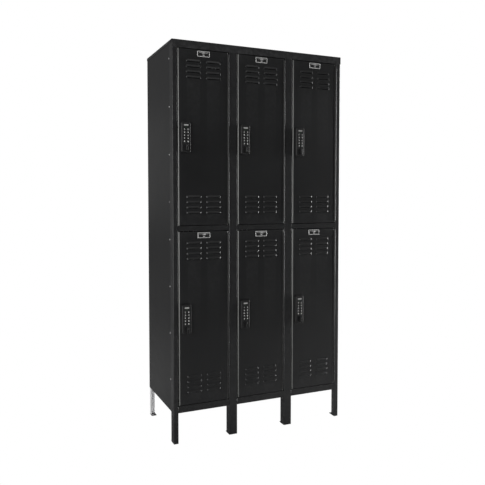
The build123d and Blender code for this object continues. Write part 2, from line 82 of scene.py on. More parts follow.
# ---- meshes --------------------------------------------------------------------------------
def piece(name, bm, body, material, sharp_degrees=32, replaces=()):
    """Turns a bmesh into a named piece that rides on a body."""
    bmesh.ops.recalc_face_normals(bm, faces=bm.faces)
    limit = math.radians(sharp_degrees)
    for edge in bm.edges:
        edge.smooth = len(edge.link_faces) == 2 and edge.calc_face_angle(0) < limit
    for face in bm.faces:
        face.smooth = True
    mesh = bpy.data.meshes.new(name)
    bm.to_mesh(mesh)
    bm.free()
    made = bpy.data.objects.new(name, mesh)
    bpy.context.scene.collection.objects.link(made)
    mesh.materials.append(material)
    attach(made, body)
    if replaces:
        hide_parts(*replaces)
    return made


def ring_arc(middle, radius, start, end, steps):
    """Points along an arc in a plane, angles in degrees."""
    points = []
    for i in range(steps + 1):
        angle = math.radians(start + (end - start) * i / steps)
        points.append((middle[0] + radius * math.cos(angle), middle[1] + radius * math.sin(angle)))
    return points


def rounded_corner(before, corner, after, radius, steps):
    """The arc that replaces one corner of a bent line."""
    a = (Vector(before) - Vector(corner)).normalized()
    b = (Vector(after) - Vector(corner)).normalized()
    half = a.angle(b) / 2
    reach = radius / math.tan(half)
    middle = Vector(corner) + (a + b).normalized() * (radius / math.sin(half))
    start, end = Vector(corner) + a * reach - middle, Vector(corner) + b * reach - middle
    points = []
    for i in range(steps + 1):
        share = i / steps
        turn = start.angle(end)
        mix = (start * math.sin((1 - share) * turn) + end * math.sin(share * turn)) / math.sin(turn)
        points.append(tuple(middle + mix))
    return points


def left_offset(points, distance):
    """A bent line moved to its left, with mitred corners."""
    moved = []
    for i, point in enumerate(points):
        here = Vector(point)
        back = (here - Vector(points[i - 1])).normalized() if i > 0 else None
        ahead = (Vector(points[i + 1]) - here).normalized() if i < len(points) - 1 else None
        back = back or ahead
        ahead = ahead or back
        side_a, side_b = Vector((-back.y, back.x)), Vector((-ahead.y, ahead.x))
        moved.append(tuple(here + (side_a + side_b) * (distance / (1 + side_a.dot(side_b)))))
    return moved


def rounded_line(points, radii, steps):
    """A bent line with its inner points rounded."""
    line = [tuple(points[0])]
    for i in range(1, len(points) - 1):
        arc = rounded_corner(points[i - 1], points[i], points[i + 1], radii[i - 1], steps)
        before = Vector(arc[0]) + (Vector(points[i - 1]) - Vector(arc[0])).normalized() * fold_margin
        after = Vector(arc[-1]) + (Vector(points[i + 1]) - Vector(arc[-1])).normalized() * fold_margin
        line += [tuple(before)] + arc + [tuple(after)]
    line.append(tuple(points[-1]))
    return line


def folded_section(points, thickness, outer_radius):
    """The closed section of a sheet folded along a line, with its metal to the line's left."""
    outer_radii, inner_radii = [], []
    for before, corner, after in zip(points, points[1:], points[2:]):
        a, b = Vector(corner) - Vector(before), Vector(after) - Vector(corner)
        left_turn = a.x * b.y - a.y * b.x > 0
        outer_radii.append(outer_radius if left_turn else outer_radius - thickness)
        inner_radii.append(outer_radius - thickness if left_turn else outer_radius)
    outer = rounded_line(points, outer_radii, bend_steps)
    inner = rounded_line(left_offset(points, thickness), inner_radii, bend_steps)
    return outer, inner


def add_folded(bm, points, thickness, outer_radius, low, high, along="z"):
    """Adds a folded sheet that runs between two places along an axis."""
    outer, inner = folded_section(points, thickness, outer_radius)
    ring = outer + inner[::-1]
    levels = []
    for place in (low, low + fold_margin, high - fold_margin, high):
        row = [(a, b, place) if along == "z" else (place, a, b) for a, b in ring]
        levels.append([bm.verts.new(p) for p in row])
    count = len(ring)
    for lower, upper in zip(levels, levels[1:]):
        for i in range(count):
            j = (i + 1) % count
            bm.faces.new((lower[i], lower[j], upper[j], upper[i]))
    half = len(outer)
    for level in (levels[0], levels[-1]):
        for i in range(half - 1):
            bm.faces.new((level[i], level[i + 1], level[count - 2 - i], level[count - 1 - i]))


def add_box(bm, low, high, bevel=0.0, segments=2):
    """Adds a box between two corners, with rounded edges."""
    size = Vector(high) - Vector(low)
    middle = (Vector(high) + Vector(low)) / 2
    place = Matrix.Translation(middle) @ Matrix.Diagonal((*size, 1))
    made = bmesh.ops.create_cube(bm, size=1.0, matrix=place)
    if bevel:
        edges = list({edge for vert in made["verts"] for edge in vert.link_edges})
        bmesh.ops.bevel(bm, geom=edges, offset=bevel, segments=segments, profile=0.5, affect="EDGES")


def add_turned(bm, outline, seat, direction, steps=24):
    """Adds a turned solid: outline lists (radius, height) pairs from one end of its axis to the other."""
    turn = Vector((0, 0, 1)).rotation_difference(Vector(direction)).to_matrix().to_4x4()
    place = Matrix.Translation(Vector(seat)) @ turn
    rows = []
    for radius, height in outline:
        if radius < 1e-7:
            rows.append([bm.verts.new(place @ Vector((0, 0, height)))])
            continue
        row = []
        for i in range(steps):
            angle = 2 * math.pi * i / steps
            point = Vector((radius * math.cos(angle), radius * math.sin(angle), height))
            row.append(bm.verts.new(place @ point))
        rows.append(row)
    for lower, upper in zip(rows, rows[1:]):
        for i in range(steps):
            j = (i + 1) % steps
            below = [lower[i % len(lower)], lower[j % len(lower)]]
            above = [upper[j % len(upper)], upper[i % len(upper)]]
            unique = list(dict.fromkeys(below + above))
            if len(unique) > 2:
                bm.faces.new(unique)
    for row, flip in ((rows[0], True), (rows[-1], False)):
        if len(row) > 2:
            bm.faces.new(row[::-1] if flip else row)


def rounded_rectangle(width, height, corner, steps=5):
    """The outline of a rounded rectangle about the origin, anticlockwise."""
    x, z = width / 2 - corner, height / 2 - corner
    points = []
    for mx, mz, start in ((x, z, 0), (-x, z, 90), (-x, -z, 180), (x, -z, 270)):
        points += ring_arc((mx, mz), corner, start, start + 90, steps)
    return points


def add_front_plate(bm, middle, width, height, corner, back, face, edge):
    """Adds a rounded plate that faces the front, from y=back to y=face, with a rolled front edge."""
    x, z = middle
    levels = [(0.0, back)]
    rolls = 4
    for i in range(rolls + 1):
        angle = math.radians(90 * i / rolls)
        levels.append((edge * (1 - math.cos(angle)), face + edge * (1 - math.sin(angle))))
    rows = []
    for inset, y in levels:
        outline = rounded_rectangle(width - 2 * inset, height - 2 * inset, max(corner - inset, 1e-5))
        rows.append([bm.verts.new((x + a, y, z + b)) for a, b in outline])
    count = len(rows[0])
    for lower, upper in zip(rows, rows[1:]):
        for i in range(count):
            j = (i + 1) % count
            bm.faces.new((lower[i], lower[j], upper[j], upper[i]))
    bm.faces.new(rows[0])
    bm.faces.new(rows[-1])


# ---- material groups -----------------------------------------------------------------------
# Lighter grey for the convex edges of the powder coat: partly scuffed paint, partly a painted highlight along
# the bends.
scuffed_edge_and_highlight_colour = (0.09, 0.09, 0.092, 1)
dust_colour = (0.16, 0.155, 0.145, 1)


def new_group(name, inputs, outputs):
    """An empty shader node group with named sockets. inputs maps a name to its default value."""
    group = bpy.data.node_groups.new(name, "ShaderNodeTree")
    for title, default in inputs.items():
        kind = "NodeSocketColor" if isinstance(default, tuple) else "NodeSocketFloat"
        socket = group.interface.new_socket(title, in_out="INPUT", socket_type=kind)
        socket.default_value = default
    for title, kind in outputs.items():
        group.interface.new_socket(title, in_out="OUTPUT", socket_type=kind)
    return group, group.nodes.new("NodeGroupInput"), group.nodes.new("NodeGroupOutput")


def put(tree, kind, **settings):
    """Adds a node; settings with a leading upper-case letter are input defaults."""
    node = tree.nodes.new(kind)
    for key, value in settings.items():
        if key[0].isupper():
            node.inputs[key.replace("_", " ")].default_value = value
        else:
            setattr(node, key, value)
    return node


def math_node(tree, operation, first, second=None, clamp=False):
    """A math node; first and second are sockets or numbers."""
    node = tree.nodes.new("ShaderNodeMath")
    node.operation = operation
    node.use_clamp = clamp
    for index, value in enumerate((first, second)):
        if value is None:
            continue
        if isinstance(value, (int, float)):
            node.inputs[index].default_value = value
        else:
            tree.links.new(value, node.inputs[index])
    return node.outputs[0]


def mix_colour(tree, factor, first, second, blend="MIX"):
    """A colour mix; each value is a socket or a constant."""
    node = tree.nodes.new("ShaderNodeMix")
    node.data_type = "RGBA"
    node.blend_type = blend
    for index, value in ((0, factor), (6, first), (7, second)):
        if isinstance(value, (int, float, tuple)):
            node.inputs[index].default_value = value
        else:
            tree.links.new(value, node.inputs[index])
    return node.outputs[2]


def noise(tree, scale, detail=3.0, roughness=0.5, stretch=None):
    """Noise over the object's own space, in cycles per metre."""
    place = tree.nodes.new("ShaderNodeTexCoord").outputs["Object"]
    if stretch:
        mapping = put(tree, "ShaderNodeMapping", Scale=stretch)
        tree.links.new(place, mapping.inputs["Vector"])
        place = mapping.outputs["Vector"]
    node = put(tree, "ShaderNodeTexNoise", Scale=scale, Detail=detail, Roughness=roughness)
    tree.links.new(place, node.inputs["Vector"])
    return node.outputs["Fac"]


def ramp(tree, value, low, high):
    """Stretches a value so that low becomes 0 and high becomes 1."""
    node = put(tree, "ShaderNodeMapRange", From_Min=low, From_Max=high)
    tree.links.new(value, node.inputs["Value"])
    return node.outputs["Result"]


def edge_scuff_and_highlight_group():
    """A mask of convex edges, broken up by noise, for scuffing; on the powder coat it is partly a painted
    highlight along the bends.
    """
    group, source, sink = new_group(
        "edge_scuff_and_highlight", {"Reach": 0.06, "Break Up": 0.5}, {"Mask": "NodeSocketFloat"})
    pointy = group.nodes.new("ShaderNodeNewGeometry").outputs["Pointiness"]
    raised = math_node(group, "SUBTRACT", pointy, 0.5)
    scaled = math_node(group, "DIVIDE", raised, source.outputs["Reach"], clamp=True)
    patches = ramp(group, noise(group, 60.0, 4.0, 0.65), 0.42, 0.66)
    broken = math_node(group, "MULTIPLY", patches, source.outputs["Break Up"])
    whole = math_node(group, "SUBTRACT", 1.0, source.outputs["Break Up"])
    mask = math_node(group, "MULTIPLY", scaled, math_node(group, "ADD", broken, whole), clamp=True)
    group.links.new(mask, sink.inputs["Mask"])
    return group


def dust_group():
    """A faint film of dust on faces that look up, and streaks of handling on upright ones."""
    group, source, sink = new_group("dust_film", {"Amount": 0.2}, {"Mask": "NodeSocketFloat"})
    normal = group.nodes.new("ShaderNodeNewGeometry").outputs["Normal"]
    split = group.nodes.new("ShaderNodeSeparateXYZ")
    group.links.new(normal, split.inputs[0])
    up = ramp(group, split.outputs["Z"], 0.3, 0.95)
    cloud = ramp(group, noise(group, 9.0, 5.0, 0.6), 0.3, 0.75)
    settled = math_node(group, "MULTIPLY", up, cloud)
    wiped = ramp(group, noise(group, 2.2, 5.0, 0.62, stretch=(1.0, 1.0, 0.25)), 0.5, 0.85)
    faint = math_node(group, "MULTIPLY", wiped, 0.22)
    both = math_node(group, "MAXIMUM", settled, faint)
    group.links.new(math_node(group, "MULTIPLY", both, source.outputs["Amount"]), sink.inputs["Mask"])
    return group


def powder_group():
    """The skin of a baked powder coat: fine orange peel over a slow waviness of the sheet."""
    group, source, sink = new_group(
        "powder_skin", {"Peel Scale": 900.0, "Peel Height": 0.5, "Roughness": 0.4},
        {"Height": "NodeSocketFloat", "Roughness": "NodeSocketFloat", "Tone": "NodeSocketFloat"})
    place = group.nodes.new("ShaderNodeTexCoord").outputs["Object"]
    peel = put(group, "ShaderNodeTexNoise", Detail=2.0, Roughness=0.5)
    group.links.new(place, peel.inputs["Vector"])
    group.links.new(source.outputs["Peel Scale"], peel.inputs["Scale"])
    height = math_node(group, "MULTIPLY", peel.outputs["Fac"], source.outputs["Peel Height"])
    group.links.new(height, sink.inputs["Height"])
    slow = noise(group, 3.5, 4.0, 0.55)
    grain = noise(group, 220.0, 2.0, 0.5)
    slow_change = math_node(group, "MULTIPLY", slow, 0.12)
    grain_change = math_node(group, "MULTIPLY", grain, 0.05)
    change = math_node(group, "SUBTRACT", math_node(group, "ADD", slow_change, grain_change), 0.085)
    level = math_node(group, "ADD", source.outputs["Roughness"], change)
    group.links.new(level, sink.inputs["Roughness"])
    group.links.new(ramp(group, slow, 0.3, 0.7), sink.inputs["Tone"])
    return group


def brushed_group():
    """Fine brushing along X with a height and a roughness change."""
    group, source, sink = new_group(
        "brushed_grain", {"Roughness": 0.35, "Depth": 0.4},
        {"Height": "NodeSocketFloat", "Roughness": "NodeSocketFloat"})
    lines = noise(group, 60.0, 4.0, 0.6, stretch=(1.0, 40.0, 40.0))
    group.links.new(math_node(group, "MULTIPLY", lines, source.outputs["Depth"]), sink.inputs["Height"])
    change = math_node(group, "MULTIPLY", math_node(group, "SUBTRACT", lines, 0.5), 0.35)
    group.links.new(math_node(group, "ADD", source.outputs["Roughness"], change), sink.inputs["Roughness"])
    return group


edge_scuff_and_highlight = edge_scuff_and_highlight_group()
dust_film = dust_group()
powder_skin = powder_group()
brushed_grain = brushed_group()


def use(tree, group, **values):
    """Places a node group in a material with its own values."""
    node = tree.nodes.new("ShaderNodeGroup")
    node.node_tree = group
    for key, value in values.items():
        node.inputs[key.replace("_", " ")].default_value = value
    return node


def new_material(name):
    """An empty material; returns it with its tree and its Principled node."""
    material = bpy.data.materials.new(name)
    material.use_nodes = True
    tree = material.node_tree
    shader = tree.nodes["Principled BSDF"]
    return material, tree, shader


def add_bump(tree, shader, height, strength, distance):
    """Feeds a height into the shader's normal."""
    bump = put(tree, "ShaderNodeBump", Strength=strength, Distance=distance)
    tree.links.new(height, bump.inputs["Height"])
    tree.links.new(bump.outputs["Normal"], shader.inputs["Normal"])


def powder_coat(name, colour, roughness, edge_lightening=0.35, dust=0.12):
    """Baked powder coat on steel: peel, slow tone changes, edges lightened partly by scuffing and partly as a
    painted highlight, and a little dust.
    """
    material, tree, shader = new_material(name)
    skin = use(tree, powder_skin, Peel_Scale=850.0, Peel_Height=0.5, Roughness=roughness)
    convex_edges = use(tree, edge_scuff_and_highlight, Reach=0.08, Break_Up=0.75)
    film = use(tree, dust_film, Amount=dust)
    lighter = tuple(min(1.0, c * 1.35) for c in colour[:3]) + (1.0,)
    base = mix_colour(tree, skin.outputs["Tone"], colour, lighter)
    # The convex edges lighten: partly scuffing, partly a painted highlight along the bends.
    share = math_node(tree, "MULTIPLY", convex_edges.outputs["Mask"], edge_lightening)
    edge_lightened = mix_colour(tree, share, base, scuffed_edge_and_highlight_colour)
    dusty = mix_colour(tree, film.outputs["Mask"], edge_lightened, dust_colour)
    tree.links.new(dusty, shader.inputs["Base Color"])
    dulled = math_node(tree, "MULTIPLY", film.outputs["Mask"], 0.5)
    rough = math_node(tree, "ADD", skin.outputs["Roughness"], dulled)
    tree.links.new(rough, shader.inputs["Roughness"])
    add_bump(tree, shader, skin.outputs["Height"], 0.22, 0.0004)
    return material


def moulded(name, colour, roughness, grain_scale=1400.0, edge_lightening=0.2):
    """Fine-grained moulded plastic or coated casting."""
    material, tree, shader = new_material(name)
    skin = use(tree, powder_skin, Peel_Scale=grain_scale, Peel_Height=0.6, Roughness=roughness)
    convex_edges = use(tree, edge_scuff_and_highlight, Reach=0.07, Break_Up=0.6)
    light = tuple(min(1.0, c * 1.3) for c in colour[:3]) + (1.0,)
    base = mix_colour(tree, skin.outputs["Tone"], colour, light)
    shiny = tuple(min(1.0, c * 2.2 + 0.02) for c in colour[:3]) + (1.0,)
    edge_lightened = mix_colour(tree, math_node(tree, "MULTIPLY", convex_edges.outputs["Mask"], edge_lightening), base, shiny)
    tree.links.new(edge_lightened, shader.inputs["Base Color"])
    tree.links.new(skin.outputs["Roughness"], shader.inputs["Roughness"])
    add_bump(tree, shader, skin.outputs["Height"], 0.3, 0.0002)
    return material


def plated(name, colour, roughness, metallic=1.0, edge_lightening=0.3, stain=0.72):
    """Brushed or plated metal with grain and stained patches."""
    material, tree, shader = new_material(name)
    grain = use(tree, brushed_grain, Roughness=roughness, Depth=0.5)
    convex_edges = use(tree, edge_scuff_and_highlight, Reach=0.06, Break_Up=0.5)
    patches = ramp(tree, noise(tree, 24.0, 5.0, 0.6), 0.35, 0.7)
    dull = tuple(c * stain for c in colour[:3]) + (1.0,)
    bright = tuple(min(1.0, c * 1.15) for c in colour[:3]) + (1.0,)
    base = mix_colour(tree, patches, colour, dull)
    edge_lightened = mix_colour(tree, math_node(tree, "MULTIPLY", convex_edges.outputs["Mask"], edge_lightening), base, bright)
    tree.links.new(edge_lightened, shader.inputs["Base Color"])
    shader.inputs["Metallic"].default_value = metallic
    tree.links.new(grain.outputs["Roughness"], shader.inputs["Roughness"])
    add_bump(tree, shader, grain.outputs["Height"], 0.15, 0.0002)
    return material


coat_black = (0.0062, 0.0064, 0.0068, 1)
black_coat = powder_coat("black_powder_coat", coat_black, 0.34)
panel_coat = powder_coat("black_powder_coat_panels", coat_black, 0.34, edge_lightening=0.0)
# Painted highlight: a light grey coat that stands in for the light caught along the rounded upright bends of
# the doors.
bend_highlight_coat = powder_coat("black_powder_coat_bend_highlight", (0.135, 0.137, 0.132, 1), 0.28, edge_lightening=0.2, dust=0.05)
inner_coat = powder_coat("black_powder_coat_inside", (0.0065, 0.0066, 0.0068, 1), 0.42, dust=0.25)
case_plastic = moulded("lock_case_plastic", (0.0065, 0.0065, 0.0068, 1), 0.40)
key_plastic = moulded("key_plastic", (0.012, 0.012, 0.012, 1), 0.40)
knob_coat = moulded("knob_coating", (0.006, 0.006, 0.0062, 1), 0.30, grain_scale=2000.0)
legend_paint = moulded("legend_paint", (0.80, 0.80, 0.76, 1), 0.5, edge_lightening=0.1)
bar_finish = plated("status_bar_finish", (0.55, 0.55, 0.54, 1), 0.42, metallic=0.5, edge_lightening=0.2)
plate_silver = plated("plate_silver", (0.85, 0.85, 0.84, 1), 0.38, metallic=0.45, stain=0.9)
plate_black = moulded("plate_black_field", (0.008, 0.008, 0.008, 1), 0.35)
zinc = plated("zinc_plate", (0.95, 0.95, 0.96, 1), 0.42, metallic=0.05, stain=0.88)
dark_steel = plated("dark_foot_steel", (0.18, 0.18, 0.185, 1), 0.5)
pin_steel = plated("pin_steel", (0.35, 0.35, 0.355, 1), 0.35)
bolt_steel = plated("bolt_steel", (0.42, 0.42, 0.42, 1), 0.38)
lamp_lens = moulded("lamp_lens", (0.02, 0.10, 0.03, 1), 0.15)


# ---- places read from the frame ------------------------------------------------------------
def islands(node):
    """The boxes of the separate solids of one node, from left to right, front to back, low to high."""
    bm = bmesh.new()
    bm.from_mesh(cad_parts[node].data)
    bmesh.ops.remove_doubles(bm, verts=bm.verts, dist=1e-5)
    found, seen = [], set()
    for start in bm.verts:
        if start in seen:
            continue
        stack, corners = [start], []
        seen.add(start)
        while stack:
            vert = stack.pop()
            corners.append(vert.co.copy())
            for edge in vert.link_edges:
                other = edge.other_vert(vert)
                if other not in seen:
                    seen.add(other)
                    stack.append(other)
        low = Vector([min(c[i] for c in corners) for i in range(3)])
        high = Vector([max(c[i] for c in corners) for i in range(3)])
        found.append((low, high))
    bm.free()
    return sorted(found, key=lambda pair: [round(v, 4) for v in (pair[0] + pair[1])])


face_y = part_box("mullions")[0].y


# ---- doors ---------------------------------------------------------------------------------
def hood_height(across, down):
    """How far a louvre stands out: across runs -1 to 1 along it, down runs 0 at its top to 1 at its lip."""
    end = louvre_end_length / (louvre_width / 2)
    depth_in = max(0.0, (abs(across) - (1 - end)) / end)
    ends = math.cos(math.pi / 2 * min(1.0, depth_in)) ** 0.75
    fall = math.sin(math.pi / 2 * max(0.0, min(1.0, down))) ** 1.35
    return louvre_projection * ends * fall


def door_skin(number):
    """The folded door pan with its rolled edges and pressed louvres, open behind."""
    low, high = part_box(f"door_panel_{number}")
    back_y, front_y = high.y, high.y - door_depth
    profile = [(low.x, back_y, -1.0, 0.0)]
    for x, y in ring_arc((low.x + door_bend, front_y + door_bend), door_bend, 180, 270, bend_steps):
        profile.append((x, y, (x - low.x - door_bend) / door_bend, (y - front_y - door_bend) / door_bend))
    middle = (low.x + high.x) / 2
    across_steps = 22
    columns = [middle + side * louvre_spacing / 2 for side in (-1, 1)]
    inside = {}
    for column, centre in enumerate(columns):
        profile.append((centre - louvre_width / 2 - louvre_grid_margin, front_y, 0.0, -1.0))
        for i in range(across_steps + 1):
            across = -math.cos(math.pi * i / across_steps)
            inside[len(profile)] = (column, across)
            profile.append((centre + across * louvre_width / 2, front_y, 0.0, -1.0))
        profile.append((centre + louvre_width / 2 + louvre_grid_margin, front_y, 0.0, -1.0))
    for x, y in ring_arc((high.x - door_bend, front_y + door_bend), door_bend, 270, 360, bend_steps):
        profile.append((x, y, (x - high.x + door_bend) / door_bend, (y - front_y - door_bend) / door_bend))
    profile.append((high.x, back_y, 1.0, 0.0))

    edge_rows = 4
    rows = []
    for i in range(edge_rows + 1):
        angle = math.radians(90 * (1 - i / edge_rows))
        rows.append((low.z + door_edge * (1 - math.sin(angle)), door_edge * (1 - math.cos(angle)), None))
    first = [low.z + louvre_edge_distance, high.z - louvre_edge_distance - (louvre_rows - 1) * louvre_pitch]
    down_steps = 7
    for start in first:
        for row in range(louvre_rows):
            lip = start + row * louvre_pitch
            rows.append((lip - louvre_slot - louvre_grid_margin, 0.0, None))
            rows.append((lip - louvre_slot, 0.0, "slot"))
            for i in range(down_steps + 1):
                rows.append((lip + louvre_rise * i / down_steps, 0.0, 1 - i / down_steps))
            rows.append((lip + louvre_rise + louvre_grid_margin, 0.0, None))
    for i in range(edge_rows + 1):
        angle = math.radians(90 * i / edge_rows)
        rows.append((high.z - door_edge * (1 - math.sin(angle)), door_edge * (1 - math.cos(angle)), None))

    bm = bmesh.new()
    grid = []
    for z, inset, down in rows:
        line = []
        for i, (x, y, nx, ny) in enumerate(profile):
            out = hood_height(inside[i][1], down) if i in inside and isinstance(down, float) else 0.0
            keep_back = 0.0 if i in (0, len(profile) - 1) else 1.0
            line.append(bm.verts.new((x - nx * inset, y - ny * inset * keep_back - out, z)))
        grid.append(line)
    for k in range(len(grid) - 1):
        for i in range(len(profile) - 1):
            same_louvre = i in inside and i + 1 in inside and inside[i][0] == inside[i + 1][0]
            in_slot = rows[k][2] == "slot" and same_louvre
            end_cell = same_louvre and max(-inside[i][1], inside[i + 1][1]) > louvre_open_share
            if in_slot and not end_cell:
                continue
            bm.faces.new((grid[k][i], grid[k][i + 1], grid[k + 1][i + 1], grid[k + 1][i]))
    bm.faces.new(grid[-1])
    bm.faces.new(grid[0][::-1])
    mesh = bpy.data.meshes.new("door_sheet")
    bm.to_mesh(mesh)
    bm.free()
    blank = bpy.data.objects.new("door_blank", mesh)
    bpy.context.scene.collection.objects.link(blank)
    thick = blank.modifiers.new("sheet", "SOLIDIFY")
    thick.thickness = door_sheet
    thick.offset = -1.0
    thick.use_even_offset = True
    shaped = bpy.data.meshes.new_from_object(blank.evaluated_get(bpy.context.evaluated_depsgraph_get()))
    bpy.data.objects.remove(blank)
    done = bmesh.new()
    done.from_mesh(shaped)
    bpy.data.meshes.remove(shaped)
    skin = piece(f"door_skin_{number}", done, f"door_{number}", black_coat, 40,
                 (f"door_panel_{number}",))
    # The faces round the two upright bends take the lighter coat, a painted highlight down each edge of the
    # door.
    skin.data.materials.append(bend_highlight_coat)
    for face in skin.data.polygons:
        inward = min(face.center.x - low.x, high.x - face.center.x)
        turned = abs(face.normal.x) > 0.2 and face.normal.y < -0.2 and face.center.y < front_y + door_bend
        if turned and inward < door_bend:
            face.material_index = 1


# ---- frame and sheets --------------------------------------------------------------------------
def channel_upright(bm, low, high):
    """A channel that stands upright with its face to the front."""
    line = [(low.x, high.y), (low.x, low.y), (high.x, low.y), (high.x, high.y)]
    add_folded(bm, line, frame_sheet, frame_bend, low.z, high.z)


def channel_rail(bm, low, high):
    """A channel that lies along X with its face to the front."""
    line = [(high.y, high.z), (low.y, high.z), (low.y, low.z), (high.y, low.z)]
    add_folded(bm, line, frame_sheet, frame_bend, low.x, high.x, along="x")


def frame_members():
    """Mullions, rails and end stiles with smooth folds."""
    for name, node, shape in (
            ("mullion_channels", "mullions", channel_upright),
            ("mid_rail_channels", "mid_rails", channel_rail),
            ("sill_rail_channels", "sill_rails", channel_rail)):
        bm = bmesh.new()
        for low, high in islands(node):
            shape(bm, low, high)
        piece(name, bm, "root", black_coat, 32, (node,))

    header_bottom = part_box("mullions")[1].z
    leg_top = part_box("sill_rails")[0].z
    bm = bmesh.new()
    for low, high in islands("end_stiles"):
        side = -1 if low.x < 0 else 1
        outer = low.x if side < 0 else high.x
        inner = outer - side * stile_face
        line = [
            (outer, low.y + stile_band), (outer, low.y),
            (inner, low.y), (inner, low.y + stile_inner_return)]
        if side > 0:
            line = line[::-1]
        add_folded(bm, line, frame_sheet, frame_bend, low.z, header_bottom)
        band = sorted((outer, outer - side * frame_sheet))
        add_box(bm, (band[0], low.y, header_bottom), (band[1], low.y + stile_band, high.z))
        lap = sorted((outer - side * body_sheet, outer - side * (body_sheet + frame_sheet)))
        add_box(bm, (lap[0], low.y + stile_band - frame_sheet, leg_top), (lap[1], high.y, high.z))
    piece("end_stile_channels", bm, "root", black_coat, 32, ("end_stiles",))

    low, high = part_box("top_panel")
    bm = bmesh.new()
    line = [(high.y, high.z - cap_side_lip), (high.y, high.z), (low.y, high.z), (low.y, low.z)]
    add_folded(bm, line, cap_sheet, cap_bend, low.x, high.x, along="x")
    for outer, inner in ((low.x, low.x + cap_sheet), (high.x, high.x - cap_sheet)):
        ends = sorted((outer, inner))
        add_box(bm, (ends[0], low.y + cap_bend, high.z - cap_side_lip),
                (ends[1], high.y - cap_bend, high.z - cap_sheet / 2), 0.3 * mm)
    piece("top_cap", bm, "root", black_coat, 32, ("top_panel",))


# ---- hinges ------------------------------------------------------------------------------------
knuckle_radius = 2.75 * mm
knuckle_bore = 1.55 * mm
knuckle_pitch = 58 * mm
knuckle_gap = 0.8 * mm
leaf_sheet = 1.2 * mm
half_hinge_gap = 2 * mm
knuckle_relief = 0.7 * mm
tab_setback = 1.9 * mm
tab_overlap = 0.1 * mm


def add_knuckle(bm, x, y, low, high):
    """One hollow knuckle with slightly rolled ends."""
    roll = 0.3 * mm
    outline = [
        (knuckle_bore, low), (knuckle_radius - roll, low), (knuckle_radius, low + roll),
        (knuckle_radius, high - roll), (knuckle_radius - roll, high), (knuckle_bore, high)]
    steps = 28
    rings = []
    for radius, z in outline:
        ring = []
        for i in range(steps):
            angle = 2 * math.pi * i / steps
            ring.append(bm.verts.new((x + radius * math.cos(angle), y + radius * math.sin(angle), z)))
        rings.append(ring)
    for a, b in zip(rings, rings[1:] + rings[:1]):
        for i in range(steps):
            j = (i + 1) % steps
            bm.faces.new((a[i], a[j], b[j], b[i]))


def hinge_leaf(bm, low, high, side):
    """One leaf: every other knuckle, its tabs, and the strip behind the pin."""
    axis_x = high.x - knuckle_radius if side < 0 else low.x + knuckle_radius
    axis_y = low.y + knuckle_radius
    plate = sorted((axis_x + side * half_hinge_gap, axis_x + side * (half_hinge_gap - leaf_sheet)))
    strip_front = axis_y + knuckle_radius + knuckle_relief
    add_box(bm, (plate[0], strip_front, low.z), (plate[1], high.y, high.z), 0.2 * mm, 1)
    length = high.z - low.z
    pairs = max(1, round(length / (2 * knuckle_pitch)))
    count = 2 * pairs + 1
    for i in range(0 if side > 0 else 1, count, 2):
        start = low.z + length * i / count + (knuckle_gap / 2 if i else 0)
        end = low.z + length * (i + 1) / count - (knuckle_gap / 2 if i < count - 1 else 0)
        add_knuckle(bm, axis_x, axis_y, start, end)
        add_box(bm, (plate[0], axis_y + tab_setback, start), (plate[1], strip_front + tab_overlap, end))


def hinges():
    """The two leaves of each door hinge, and the pins."""
    for number in door_numbers:
        bm = bmesh.new()
        node = f"hinge_door_leaf_{number}"
        hinge_leaf(bm, *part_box(node), -1)
        piece(f"hinge_leaf_on_door_{number}", bm, f"door_{number}", black_coat, 32, (node,))
    bm = bmesh.new()
    for low, high in islands("hinge_frame_leaves"):
        hinge_leaf(bm, low, high, 1)
    piece("hinge_leaves_on_frame", bm, "root", black_coat, 32, ("hinge_frame_leaves",))
    bm = bmesh.new()
    for low, high in islands("hinge_pins"):
        radius = (high.x - low.x) / 2
        length, chamfer = high.z - low.z, 0.4 * mm
        outline = [(radius * 0.75, 0), (radius, chamfer), (radius, length - chamfer), (radius * 0.75, length)]
        add_turned(bm, outline, ((low.x + high.x) / 2, (low.y + high.y) / 2, low.z), (0, 0, 1))
    piece("hinge_pin_rods", bm, "root", pin_steel, 32, ("hinge_pins",))


# ---- bolts ---------------------------------------------------------------------------------------
def bolts():
    """Truss-head bolts with nuts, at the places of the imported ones."""
    back_bolt_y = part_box("back_panels")[1].y - 40 * mm
    head_height, head_radius, shank_radius = 2.4 * mm, 6 * mm, 3 * mm
    nut_radius, nut_height, side_grip, back_grip = 5.5 * mm, 5 * mm, 2.3 * mm, 1.6 * mm
    head_rim, shank_chamfer, nut_chamfer, nut_edge = 0.5 * mm, 0.4 * mm, 0.6 * mm, 0.4 * mm
    dome_steps = 6
    bm = bmesh.new()
    for low, high in islands("fasteners"):
        middle = (low + high) / 2
        if middle.y > back_bolt_y:
            seat, direction, length = Vector((middle.x, high.y, middle.z)), (0, -1, 0), high.y - low.y
        elif middle.x < 0:
            seat, direction, length = Vector((low.x, middle.y, middle.z)), (1, 0, 0), high.x - low.x
        else:
            seat, direction, length = Vector((high.x, middle.y, middle.z)), (-1, 0, 0), high.x - low.x
        dome = [(0.0, 0.0)]
        for i in range(1, dome_steps + 1):
            angle = math.radians(90 * i / dome_steps)
            rise = (head_height - head_rim) * (1 - math.cos(angle))
            dome.append((head_radius * math.sin(angle) ** 0.9, rise))
        outline = dome + [
            (head_radius, head_height), (shank_radius, head_height),
            (shank_radius, length - shank_chamfer), (shank_radius - shank_chamfer, length)]
        add_turned(bm, outline, seat, direction)
        nut_start = head_height + (side_grip if direction[0] else back_grip)
        nut_end = nut_start + nut_height
        nut = [
            (nut_radius - nut_chamfer, nut_start), (nut_radius, nut_start + nut_edge),
            (nut_radius, nut_end - nut_edge), (nut_radius - nut_chamfer, nut_end)]
        add_turned(bm, nut, seat, direction, steps=6)
    piece("panel_bolts", bm, "root", bolt_steel, 32, ("fasteners",))


